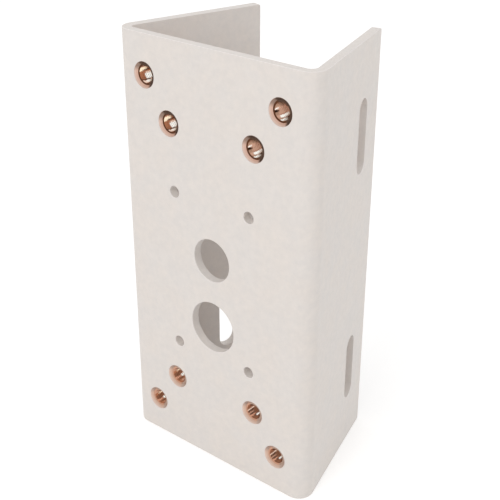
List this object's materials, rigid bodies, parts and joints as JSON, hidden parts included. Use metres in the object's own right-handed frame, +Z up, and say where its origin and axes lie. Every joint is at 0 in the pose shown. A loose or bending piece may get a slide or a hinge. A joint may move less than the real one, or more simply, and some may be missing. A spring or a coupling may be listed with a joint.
{
  "type": "camera pole mount",
  "caption": "Folded steel channel that straps to a pole and carries a camera or housing on threaded inserts, with cable holes through its web.",
  "frame": {"origin": "middle of the bounding box's footprint, on the surface that the channel stands on", "axes": "+Z up along the channel, -Y out of the web's front face towards the camera, +Y out of the open back towards the pole, +X to the right as seen from the front"},
  "size_m": [0.1156, 0.078, 0.22],
  "materials": {
    "powder_coat": "off-white satin powder coat on steel plate",
    "copper_plating": "copper-coloured plating, bright on the thread and dull on the end faces"
  },
  "bodies": {
    "root": {"channel": "powder_coat", "insert_top_left_outer": "copper_plating", "insert_top_left_inner": "copper_plating", "insert_top_right_outer": "copper_plating", "insert_top_right_inner": "copper_plating", "insert_bottom_left_outer": "copper_plating", "insert_bottom_left_inner": "copper_plating", "insert_bottom_right_outer": "copper_plating", "insert_bottom_right_inner": "copper_plating"}
  },
  "joints": []
}
